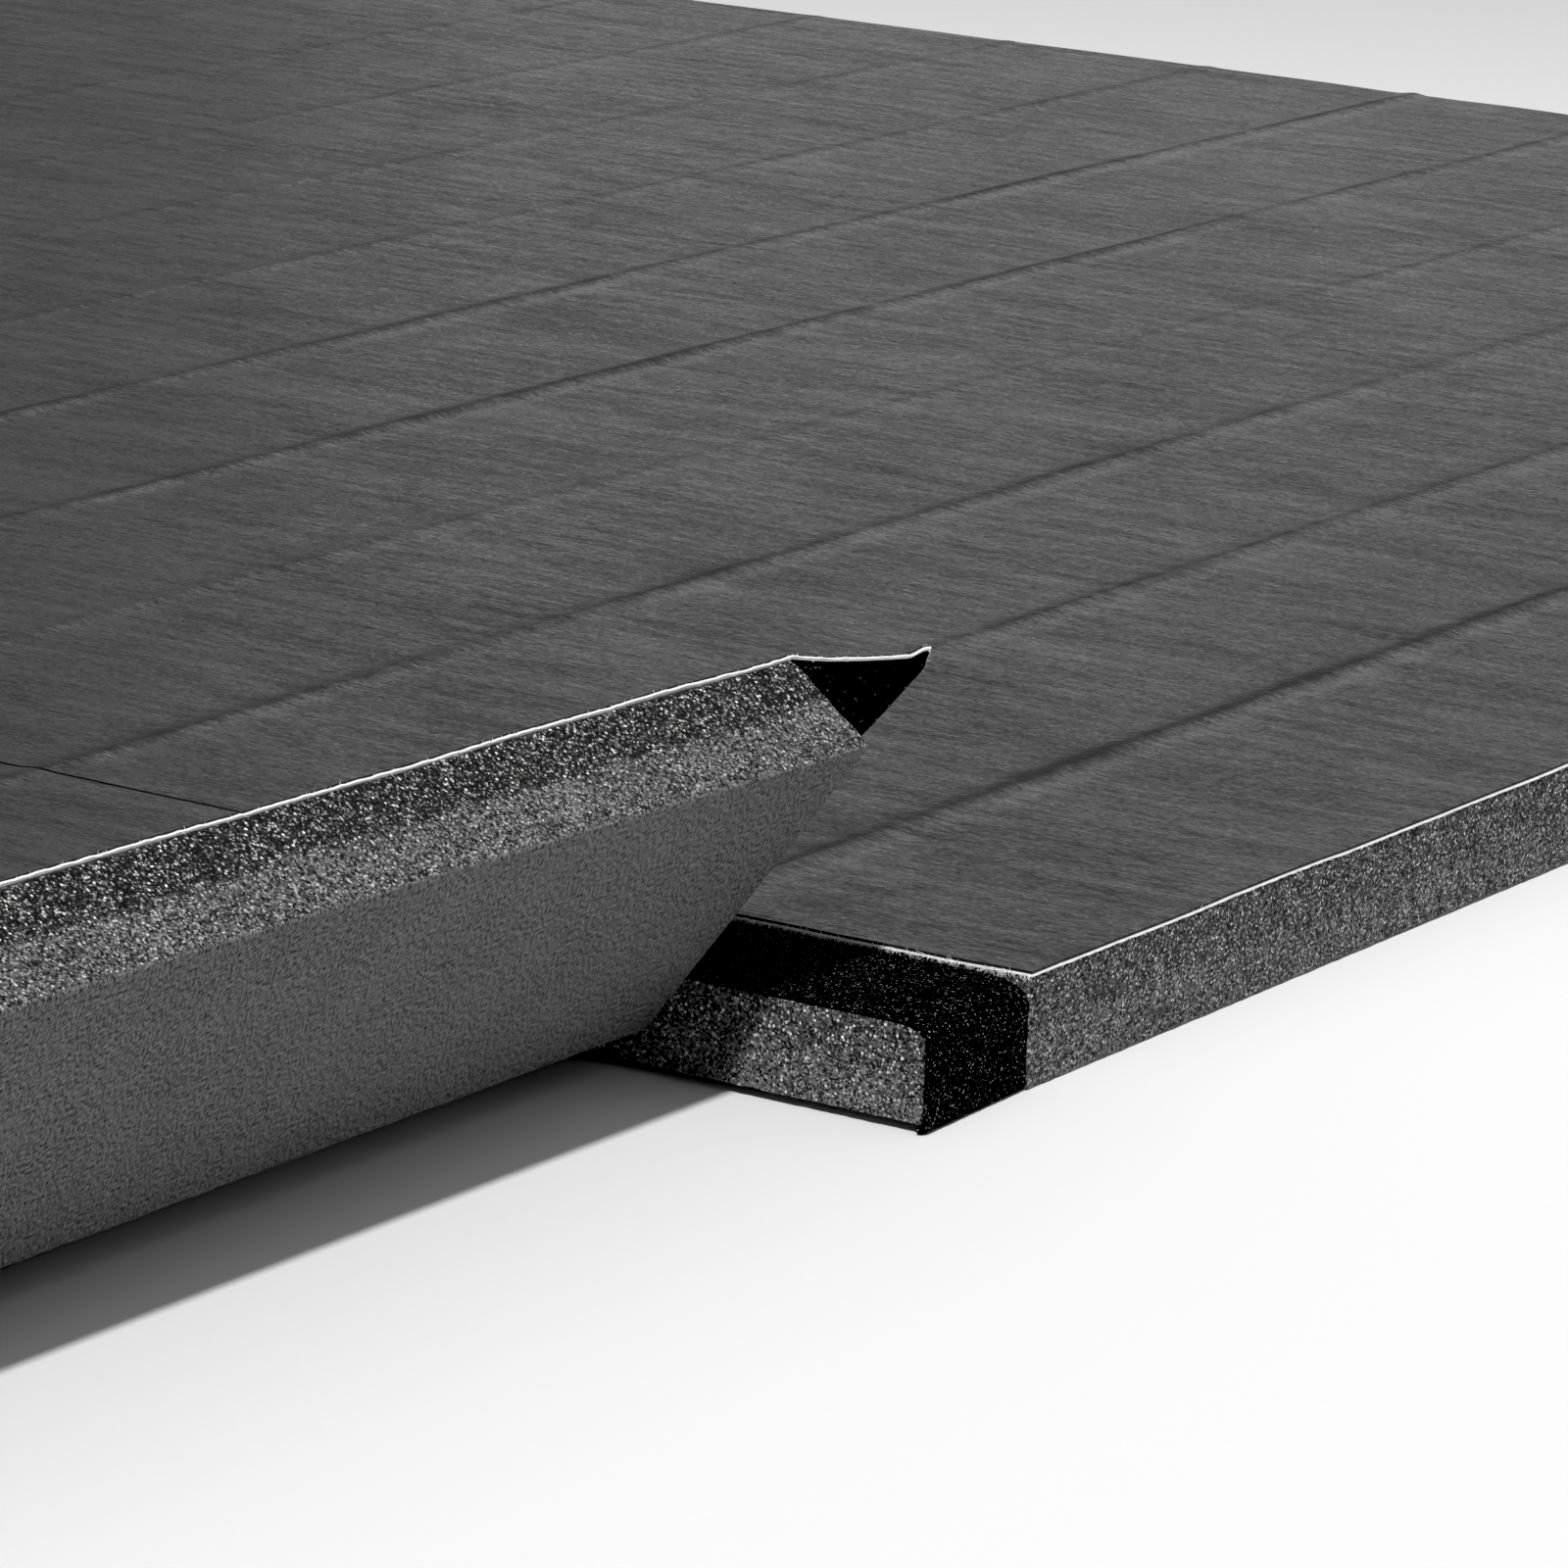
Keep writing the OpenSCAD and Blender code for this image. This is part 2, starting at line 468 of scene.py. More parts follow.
def noise(points, cell, seed=0):
    """Smooth noise from -1 to 1: random values on a cubic lattice of the cell size, blended in
    each direction by 3t^2 - 2t^3."""
    at = np.asarray(points, float) / np.asarray(cell, float)
    low = np.floor(at).astype(np.int64)
    t = at - low
    t = t * t * (3 - 2 * t)
    total = np.zeros(len(at))
    for corner in range(8):
        step = np.array([corner & 1, corner >> 1 & 1, corner >> 2 & 1])
        share = np.prod(np.where(step, t, 1 - t), axis=1)
        total += share * mixed_bits(*(low + step).T, seed)
    return total * 2 - 1


def along_noise(x, cell, seed):
    """Noise from -1 to 1 that changes only along X."""
    flat = np.stack([x, np.zeros_like(x), np.zeros_like(x)], 1)
    return noise(flat, cell, seed)


def smooth(t):
    """3t^2 - 2t^3 of t held between 0 and 1."""
    t = np.clip(t, 0, 1)
    return t * t * (3 - 2 * t)


def between(low, high, step):
    """Evenly spaced values from low to high, about a step apart."""
    return np.linspace(low, high, max(2, int(round((high - low) / step)) + 1))


def crowded(low, high, step, edge, edge_step):
    """Values a step apart, with finer ones within an edge's width of both ends."""
    inner = between(low + edge, high - edge, step)
    return np.concatenate([
        between(low, low + edge, edge_step)[:-1], inner, between(high - edge, high, edge_step)[1:]
    ])


def lattice_shell(xs, ys, zs):
    """The skin of a box-shaped lattice as a closed mesh: the points (x, y, z) that lie on the
    first or last value of an axis, and the four-sided faces between them, pointing outwards."""
    counts = (len(xs), len(ys), len(zs))
    index = np.arange(np.prod(counts)).reshape(counts)
    faces = []
    for axis in range(3):
        for side in (0, -1):
            plane = np.take(index, side, axis=axis)
            a, b, c, d = plane[:-1, :-1], plane[1:, :-1], plane[1:, 1:], plane[:-1, 1:]
            quads = np.stack([a, b, c, d], -1).reshape(-1, 4)
            # a, b, c, d turn from the first remaining axis to the second: +Z for XY and YZ's +X,
            # but -Y for XZ
            outward = (side == -1) != (axis == 1)
            faces.append(quads if outward else quads[:, ::-1])
    faces = np.concatenate(faces)
    used, faces = np.unique(faces, return_inverse=True)
    i, j, k = np.unravel_index(used, counts)
    return np.stack([xs[i], ys[j], zs[k]], 1), faces.reshape(-1, 4)


def rounded(points, radius):
    """Rounds a box's edges: a point within a radius of a face is drawn onto the ball of that
    radius about the nearest point of the box shrunk by the radius."""
    low, high = points.min(0) + radius, points.max(0) - radius
    core = np.clip(points, low, high)
    out = points - core
    length = np.linalg.norm(out, axis=1)[:, None]
    longest = np.abs(out).max(1)[:, None]
    pull = np.where(length > 1e-9, longest / np.maximum(length, 1e-9), 1)
    return core + out * pull


def tube_shell(loops):
    """Rings of points, loops[ring, point], joined into a tube with open ends."""
    rings, count = loops.shape[:2]
    index = np.arange(rings * count).reshape(rings, count)
    turn = np.roll(index, -1, axis=1)
    quads = np.stack([index[:-1], turn[:-1], turn[1:], index[1:]], -1).reshape(-1, 4)
    return loops.reshape(-1, 3), quads


def raised(points):
    """Folds points up about the left section's first crease by the frame's angle, and by a little
    more as they lie further from the seam: twist * (1 - exp(-run / reach))."""
    start, reach, twist = -80 * MM, 350 * MM, math.radians(3.9)
    pivot = np.array([0, CREASES[0], TOP])
    y, z = (points - pivot)[:, 1], (points - pivot)[:, 2]
    run = np.maximum(start - points[:, 0], 0)
    angle = RAISE + twist * (1 - np.exp(-run / reach))
    cos, sin = np.cos(angle), np.sin(angle)
    turned = np.stack([points[:, 0], y * cos + z * sin, z * cos - y * sin], 1)
    return turned + np.array([0, pivot[1], pivot[2]])


def piece(name, shells, finish, section, k, nodes=(), tone=None):
    """Makes one mesh from shells in the flat layout, and puts it on its strip's body.

    The attribute "lay" keeps the flat place of each point, and "tone" the level of painted shade and
    highlight in its colour."""
    verts = np.concatenate([v for v, _ in shells])
    faces, start = [], 0
    for v, f in shells:
        faces += (f + start).tolist()
        start += len(v)
    place = raised(verts) if (section, k) == ("left", 1) else verts
    mesh = bpy.data.meshes.new(name)
    mesh.from_pydata(place, [], faces)
    lay = mesh.attributes.new("lay", "FLOAT_VECTOR", "POINT")
    lay.data.foreach_set("vector", verts.astype(np.float32).ravel())
    level = mesh.attributes.new("tone", "FLOAT", "POINT")
    values = np.ones(len(verts)) if tone is None else tone
    level.data.foreach_set("value", values.astype(np.float32))
    mesh.polygons.foreach_set("use_smooth", np.ones(len(mesh.polygons), bool))
    mesh.materials.append(material(finish))
    mesh.validate()
    mesh.set_sharp_from_angle(angle=math.radians(50))
    mesh.update()
    obj = bpy.data.objects.new(name, mesh)
    bpy.context.scene.collection.objects.link(obj)
    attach(obj, f"{section}_{k:02d}")
    if nodes:
        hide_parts(*nodes)
    return obj


def strip_span(k):
    """Near and far edge of strip k: a crease, or the section's own edge."""
    return (NEAR if k == 1 else CREASES[k - 2]), (FAR if k == STRIPS else CREASES[k - 1])


def surface(x, y, k):
    """Height of the vinyl's top at a flat place on strip k.

    A crease stays at the hinge line's height. The vinyl falls away from it by a cosine to the
    near side, and to a dip and slowly back on the far side, and noise varies it in between."""
    skin = bpy.context.scene.mat_skin
    near, far = strip_span(k)
    flat = np.stack([x, y, np.zeros_like(x)], 1)
    swell = 1 + 0.4 * along_noise(x, 90 * MM, k) + 0.2 * along_noise(x, 22 * MM, k + 50)
    share = (y - near) / (far - near)
    before, after = max(k - 1, 1), min(k, STRIPS - 1)
    strength = crease_strength(before, x) * (1 - share) + crease_strength(after, x) * share
    drop = skin.ridge * strength
    rise = np.ones_like(x)
    fall = np.ones_like(x)
    if k < STRIPS:
        slope = skin.ridge_near * (1 + 0.3 * along_noise(x, 60 * MM, k + 20))
        rise = smooth((far - y) / slope)
    dip = 0
    if k > 1:
        slope = skin.ridge_far * (1 + 0.3 * along_noise(x, 60 * MM, k + 30))
        fall = smooth((y - near) / slope)
        refill = 1 - smooth((y - near - slope) / skin.recover)
        dip = skin.trough * strength * swell * fall * refill * rise
    calm = rise * fall
    drop = drop * calm + dip
    if k == 1:
        drop = drop - 0.8 * skin.ridge * smooth((near + 30 * MM - y) / (30 * MM))
    waves = noise(flat, (150 * MM, 60 * MM, 1), 3) + 0.5 * noise(flat, (45 * MM, 28 * MM, 1), 4)
    waves = waves + 0.3 * noise(flat, (14 * MM, 70 * MM, 1), 5)
    return TOP - drop + skin.wave * waves * calm


def crease_painted_shading(x, y, k):
    """Level of painted shading in the vinyl's colour: painted shade in the dip behind a crease and in a
    thin line along it, and a painted highlight a little before it.
    """
    near, far = strip_span(k)
    level = np.ones_like(x)
    uneven = 1 + 0.45 * along_noise(x, 70 * MM, k + 70) + 0.3 * along_noise(x, 15 * MM, k + 80)
    if k > 1:
        d = (y - near) / ((7 if k < 5 else 4) * MM)
        level -= 0.9 * crease_strength(k - 1, x) * uneven * np.exp(-np.abs(d) ** 1.5)
    if k < STRIPS:
        d = (far - y) / (1.8 * MM)
        level -= 0.7 * crease_strength(k, x) * uneven * np.exp(-(d ** 2))
        d = (far - y - 8 * MM) / (5 * MM)
        level += 0.35 * crease_strength(k, x) * uneven * np.exp(-(d ** 2))
    return np.clip(level, 0, 1.4)


def crease_strength(k, x):
    """How sharp crease k is at each x, from 0 to about 1.5: some creases are sharper than others,
    and each one comes and goes along its length."""
    patchy = 1 + 0.4 * along_noise(x, 130 * MM, k + 90) + 0.3 * along_noise(x, 38 * MM, k + 120)
    return CREASE_SHARPNESS[k - 1] * patchy


def hang(points):
    """Lets the open flap droop. Past the foam's end a point sinks by reach * tan(droop) *
    (1 - exp(-run / reach)), which fades to nothing towards the crease, and the cut tip curls up."""
    skin = bpy.context.scene.mat_skin
    reach = 60 * MM
    run = np.maximum(points[:, 0] - LEFT_END, 0)
    free = np.clip((CREASES[0] - points[:, 1]) / (CREASES[0] - NEAR), 0, 1) ** 0.8
    sink = reach * math.tan(skin.droop) * (1 - np.exp(-run / reach)) * free
    corner = smooth((run - 46 * MM) / (11 * MM)) * smooth((NEAR + 6 * MM - points[:, 1]) / (6 * MM))
    ripple = noise(points, (26 * MM, 24 * MM, 1), 9) * 0.3 * MM * smooth(run / (20 * MM)) * free
    out = points.copy()
    out[:, 2] += ripple - sink + 2.2 * MM * corner
    return out


def skin_rows(k):
    """Rows across strip k: close together at both edges, where the creases are."""
    near, far = strip_span(k)
    fine = np.array([0, 1.2, 2.4, 3.7, 5, 6.5, 8, 10, 12.5, 16, 21, 28]) * MM
    middle = between(near + 38 * MM, far - 34 * MM, 12 * MM)
    return np.concatenate([near + fine, middle, (far - fine)[::-1]])


def draped(xs, ys, top, thickness, k):
    """A closed thin slab under the skin's surface: its top lies a given depth below it."""
    verts, faces = lattice_shell(xs, ys, np.array([0.0, 0.8, 1.0]))
    # points below the top level: the vinyl paints them at its darkest, as painted shade along its cut
    # edges
    painted_shade_edge = verts[:, 2] < 0.9
    height = surface(verts[:, 0], verts[:, 1], k)
    verts[:, 2] = height - top - (1 - verts[:, 2]) * thickness
    return verts, faces, painted_shade_edge


def threads(roots, ways, lengths, width, seed):
    """Loose fibres: three-sided cones of three rings that bend away from their root.

    Each ring is the root plus the way times its share of the length, plus a sideways bend that
    grows with the square of that share."""
    rng = np.random.default_rng(seed)
    count = len(roots)
    side = rng.normal(size=(count, 3))
    side -= (side * ways).sum(1)[:, None] * ways
    side /= np.linalg.norm(side, axis=1)[:, None]
    other = np.cross(ways, side)
    share = np.array([0.0, 0.5, 1.0])
    bend = rng.normal(scale=0.45, size=(count, 1, 1)) * lengths[:, None, None]
    bend = bend * (share ** 2)[None, :, None]
    line = roots[:, None, :] + ways[:, None, :] * (lengths[:, None] * share)[..., None]
    line = line + side[:, None, :] * bend
    angle = np.arange(3) * 2 * math.pi / 3
    radius = width * np.array([1.0, 0.8, 0.3])[None, :, None, None]
    cos, sin = np.cos(angle)[None, :, None], np.sin(angle)[None, :, None]
    ring = side[:, None, :] * cos + other[:, None, :] * sin
    verts = (line[:, :, None, :] + ring[:, None, :, :] * radius).reshape(-1, 3)
    one = []
    for level in range(2):
        for corner in range(3):
            after = (corner + 1) % 3
            low, high = level * 3, level * 3 + 3
            one.append([low + corner, low + after, high + after, high + corner])
    start = (np.arange(count) * 9)[:, None, None]
    sides = (start + np.array(one)[None]).reshape(-1, 4)
    ends = np.array([[0, 2, 1, 1], [6, 7, 8, 8]])
    caps = (start + ends[None]).reshape(-1, 4)
    return verts, np.concatenate([sides, caps])


def frayed_edge(start, end, push, k, count, reach, seed):
    """Fibres along a cut edge of the backing, from start to end in the flat layout, which point
    outwards along push with a random lean."""
    rng = np.random.default_rng(seed)
    share = np.sort(rng.random(count))
    roots = np.array(start)[None] + (np.array(end) - np.array(start))[None] * share[:, None]
    skin = bpy.context.scene.mat_skin
    depth = skin.thickness + skin.backing * rng.random(count)
    roots[:, 2] = surface(roots[:, 0], roots[:, 1], k) - depth
    ways = np.array(push, float)[None] + rng.normal(scale=0.8, size=(count, 3)) * (0.7, 0.7, 0.6)
    ways /= np.linalg.norm(ways, axis=1)[:, None]
    return threads(roots, ways, reach * (0.3 + rng.random(count)), 0.09 * MM, seed + 1)


# Pieces

class MAT_OT_foam(bpy.types.Operator):
    """Builds the foam strips of both sections."""

    bl_idname = "mat.foam"
    bl_label = "Foam strips"

    def block(self, x, k, top, bottom=0.0, step=6 * MM, finer=1.0):
        """A closed block of foam with eased, roughly cut edges. Its top follows the skin."""
        foam = bpy.context.scene.mat_foam
        near, far = strip_span(k)
        slit = 0.25 * MM
        near, far = near + (slit if k > 1 else 0), far - (slit if k < STRIPS else 0)
        xs = crowded(x[0], x[1], step, 3 * MM, 1 * MM)
        ys = crowded(near, far, 5 * MM * finer, 3 * MM, 1 * MM)
        zs = crowded(bottom, top, 3.5 * MM * finer, 2 * MM, 1 * MM)
        verts, faces = lattice_shell(xs, ys, zs)
        verts = rounded(verts, foam.edge)
        cut = (noise(verts, 3.1 * MM, 5) + 0.6 * noise(verts, 1.6 * MM, 6)) * 0.5 + 0.5
        middle = (verts.min(0) + verts.max(0)) / 2
        half = (verts.max(0) - verts.min(0)) / 2
        reach = np.abs(verts - middle) / half
        inward = -np.sign(verts - middle) * (reach > 0.985)
        verts = verts + inward * (foam.rough * cut)[:, None] * np.array([1, 1, 0.6])
        return verts, faces

    def execute(self, context):
        skin = context.scene.mat_skin
        top = TOP - skin.thickness - skin.backing
        spans = {"left": (SIDE["left"], LEFT_END), "right": (0.0, SIDE["right"])}
        for k in range(1, STRIPS + 1):
            first = k == 1
            step, finer = (2.5 * MM, 0.5) if first else (10 * MM, 1.5)
            for section in SECTIONS:
                verts, faces = self.block(spans[section], k, top, step=step, finer=finer)
                shells = [(self.follow(verts, k), faces)]
                if section == "right":
                    shells.append(self.tongue(k))
                layers = (f"{section}_lower_foam_01", f"{section}_upper_foam_01")
                nodes = layers if first else (f"{section}_foam_{k:02d}",)
                name = f"{section}_foam_strip_{k:02d}"
                piece(name, shells, "foam", section, k, nodes)
        return {"FINISHED"}

    def follow(self, verts, k):
        """Bends a block's upper part to lie under the skin: the shift grows with height."""
        skin = bpy.context.scene.mat_skin
        full = TOP - skin.thickness - skin.backing
        drop = surface(verts[:, 0], verts[:, 1], k) - TOP
        out = verts.copy()
        out[:, 2] += np.minimum(drop, 0) * np.clip(verts[:, 2] / full, 0, 1) ** 2
        return out

    def tongue(self, k):
        """The bare tongue under the flap. The first strip's is thinner by the pile wrapped round
        it, and its near top edge is pressed to an elliptical shoulder."""
        foam = bpy.context.scene.mat_foam
        pile = 1.6 * MM
        top = LOOP_TOP - pile
        if k > 1:
            return self.block((TONGUE_END, -0.1 * MM), k, top, step=10 * MM, finer=1.5)
        end = TONGUE_END - TONGUE_REACH
        verts, faces = self.block((end, -0.1 * MM), k, top, 2.8 * MM, 1.2 * MM, finer=0.35)
        y = verts[:, 1] - NEAR
        inside = pile + (y / (y.max() - y.min())) * (y.max() - pile)
        verts[:, 1] = NEAR + np.clip(inside, pile, None)
        verts = shouldered(verts, NEAR + pile, top, foam.shoulder_w / 2, foam.shoulder_h / 2)
        return bulged(verts), faces


def bulged(verts):
    """Swells the first tongue's near side towards its free end, by up to 2 mm."""
    out = verts.copy()
    share = np.clip((NEAR + 30 * MM - verts[:, 1]) / (30 * MM), 0, 1)
    out[:, 1] -= 2 * MM * share * np.clip(verts[:, 0] / TONGUE_END, 0, 1)
    return out


def shouldered(verts, near, top, width, height):
    """Presses the near top edge down to a quarter ellipse: within its width of the near side, a
    point keeps its share of the height under top - height * (1 - sqrt(1 - s^2)), where s runs
    from 0 at the width's end to 1 at the near side."""
    s = np.clip((near + width - verts[:, 1]) / width, 0, 1)
    roof = top - height * (1 - np.sqrt(np.maximum(1 - s ** 2, 0)))
    low = verts[:, 2].min()
    share = (verts[:, 2] - low) / (top - low)
    out = verts.copy()
    out[:, 2] = low + share * (roof - low)
    return out


class MAT_OT_skin(bpy.types.Operator):
    """Builds the vinyl skins and their woven backing."""

    bl_idname = "mat.skin"
    bl_label = "Vinyl skins"

    def execute(self, context):
        skin = context.scene.mat_skin
        for k in range(1, STRIPS + 1):
            near, far = strip_span(k)
            rows = skin_rows(k)
            for section in SECTIONS:
                seam = 0.0 if section == "right" else (LEFT_END if k == 1 else FLAP_END - skin.shy)
                x = sorted((SIDE[section], seam))
                xs = crowded(x[0], x[1], 11 * MM, 12 * MM, 3 * MM)
                verts, faces, painted_shade_edge = draped(xs, rows, 0, skin.thickness, k)
                # painted shade and highlight at the creases, and painted shade at the darkest level on
                # the cut edges
                tone = crease_painted_shading(verts[:, 0], verts[:, 1], k) * ~painted_shade_edge
                name = f"{section}_vinyl_{k:02d}_skin"
                nodes = (f"{section}_vinyl_01",) if k == 1 else (f"{section}_cover_{k:02d}",)
                vinyl = piece(name, [(verts, faces)], "vinyl", section, k, nodes, tone)
                name = f"{section}_backing_{k:02d}"
                nodes = (f"{section}_scrim_01",) if k == 1 else ()
                shells = [self.backing(x, k, section)]
                backing = piece(name, shells, "backing", section, k, nodes)
                for obj in (vinyl, backing):
                    flat = (x[1] - x[0], far - near)
        return {"FINISHED"}

    def backing(self, x, k, section):
        """The woven backing: as the skin, but cut raggedly, so it stands out a little at the
        section's own edges."""
        skin = bpy.context.scene.mat_skin
        fine = k in (1, STRIPS)
        xs = between(x[0], x[1], (1.6 if k == 1 else 11) * MM)
        rows = skin_rows(k)
        verts, faces, _ = draped(xs, rows, skin.thickness, skin.backing, k)
        near, far = strip_span(k)
        ragged = 0.2 * MM + 0.3 * MM * (1 + noise(verts, 2.6 * MM, 11))
        if k == 1:
            verts[:, 1] -= np.where(verts[:, 1] < near + 0.1 * MM, ragged, 0)
        if k == STRIPS:
            verts[:, 1] += np.where(verts[:, 1] > far - 0.1 * MM, ragged, 0)
        if section == "right":
            verts[:, 0] -= np.where(verts[:, 0] < 0.1 * MM, ragged * fine, 0)
        return verts, faces


class MAT_OT_flap(bpy.types.Operator):
    """Builds the raised strip's open flap: vinyl, backing, hook tape and hooks."""

    bl_idname = "mat.flap"
    bl_label = "Open flap"

    def execute(self, context):
        skin = context.scene.mat_skin
        near, far = strip_span(1)
        xs = between(LEFT_END, FLAP_END, 2 * MM)
        rows = between(near, far, 2 * MM)
        verts, faces, painted_shade_edge = draped(xs, rows, 0, skin.thickness, 1)
        # painted shade and highlight at the crease, and painted shade at the darkest level on the cut
        # edges
        tone = crease_painted_shading(verts[:, 0], verts[:, 1], 1) * ~painted_shade_edge
        vinyl = [(hang(verts), faces)]
        pieces = [piece("left_flap_vinyl", vinyl, "vinyl", "left", 1, (), tone)]
        xs, rows = between(LEFT_END, FLAP_END, 1 * MM), between(near, far, 1 * MM)
        verts, faces, _ = draped(xs, rows, skin.thickness, skin.backing, 1)
        ragged = 0.2 * MM + 0.3 * MM * (1 + noise(verts, 2.2 * MM, 12))
        verts[:, 1] -= np.where(verts[:, 1] < near + 0.1 * MM, ragged, 0)
        backing = [(hang(verts), faces)]
        pieces.append(piece("left_flap_backing", backing, "backing", "left", 1, ()))
        for obj in pieces:
            far - near
        nodes = ("left_hook_tape_01",)
        pieces.append(piece("left_hook_tape", self.tape(), "hook_tape", "left", 1, nodes))
        out, ahead = (0.1, -1, 0.1), (1, 0, 0)
        corner, turn = (FLAP_END, near, 0), (FLAP_END, near + 9 * MM, 0)
        fringe = [
            frayed_edge((LEFT_END, near, 0), corner, out, 1, 160, 0.9 * MM, 21),
            frayed_edge(corner, turn, ahead, 1, 40, 1.2 * MM, 22),
        ]
        fringe = [(hang(v), f) for v, f in fringe]
        pieces.append(piece("left_flap_fray", fringe, "backing", "left", 1, ()))
        # each piece of the flap gets a mesh of its own
        for obj in pieces:
            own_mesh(obj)
        return {"FINISHED"}

    def tape(self):
        """Hook tape under the flap with rows of small tapered hooks."""
        tape = bpy.context.scene.mat_tape
        skin = bpy.context.scene.mat_skin
        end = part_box("left_hook_tape_01")[1].x
        near, far = strip_span(1)
        depth = skin.thickness + skin.backing
        band = 0.7 * MM
        start = LEFT_END + 0.2 * MM
        xs, rows = between(start, end, 2 * MM), between(near + 0.5 * MM, far - 0.5 * MM, 2 * MM)
        verts, faces, _ = draped(xs, rows, depth, band, 1)
        shells = [(hang(verts), faces)]
        across, along = np.meshgrid(
            np.arange(start + 1.5 * MM, end - 1 * MM, tape.hook_pitch),
            np.arange(near + 2 * MM, far - 3 * MM, tape.hook_pitch * 0.8), indexing="ij")
        stagger = (np.arange(across.shape[0]) % 2)[:, None] * tape.hook_pitch * 0.4
        roots = np.stack([across.ravel(), (along + stagger).ravel(), np.zeros(across.size)], 1)
        roots[:, 2] = surface(roots[:, 0], roots[:, 1], 1) - depth - band
        shells.append(self.hooks(hang(roots), tape.hook_size))
        return shells

    def hooks(self, roots, width):
        """A four-sided peg on each root that leans over at its tip."""
        height = 1.1 * MM
        base = np.array([[-1, -1], [1, -1], [1, 1], [-1, 1]]) * width / 2
        levels = ((0, 1.0, 0.0), (0.6, 0.8, 0.0), (1.0, 0.75, 0.9))
        rings = [
            np.column_stack([base * size + (0, lean * width), np.full(4, -share * height)])
            for share, size, lean in levels
        ]
        one = np.concatenate(rings)
        verts = (roots[:, None, :] + one[None]).reshape(-1, 3)
        quads = []
        for level in range(2):
            for corner in range(4):
                after = (corner + 1) % 4
                low, high = level * 4, level * 4 + 4
                quads.append([low + corner, high + corner, high + after, low + after])
        quads += [[0, 1, 2, 3], [11, 10, 9, 8]]
        start = (np.arange(len(roots)) * 12)[:, None, None]
        return verts, (start + np.array(quads)[None]).reshape(-1, 4)


class MAT_OT_tapes(bpy.types.Operator):
    """Builds the hook tape and loop pile along the closed part of the seam."""

    bl_idname = "mat.tapes"
    bl_label = "Seam tapes"

    def execute(self, context):
        skin = context.scene.mat_skin
        low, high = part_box("left_hook_tape_01")
        depth = skin.thickness + skin.backing
        for k in range(2, STRIPS + 1):
            near, far = strip_span(k)
            rows = between(near + 0.3 * MM, far - 0.3 * MM, 8 * MM)
            xs = between(low.x, high.x, 8 * MM)
            verts, faces, _ = draped(xs, rows, depth, 0.25 * MM, k)
            verts[:, 2] = np.maximum(verts[:, 2], HOOK_LOW)
            piece(f"left_hook_tape_{k:02d}_band", [(verts, faces)], "hook_tape", "left", k)
            verts, faces = lattice_shell(
                between(TONGUE_END, -0.4 * MM, 2.4 * MM),
                between(near + 0.3 * MM, far - 0.3 * MM, 2.4 * MM),
                np.array([LOOP_TOP - 1.5 * MM, LOOP_TOP]),
            )
            upper = verts[:, 2] > LOOP_TOP - 0.5 * MM
            verts[:, 2] -= np.where(upper, 0.3 * MM * (1 + noise(verts, 1.9 * MM, 31)), 0)
            piece(f"right_loop_pile_{k:02d}_band", [(verts, faces)], "loop_pile", "right", k)
        return {"FINISHED"}


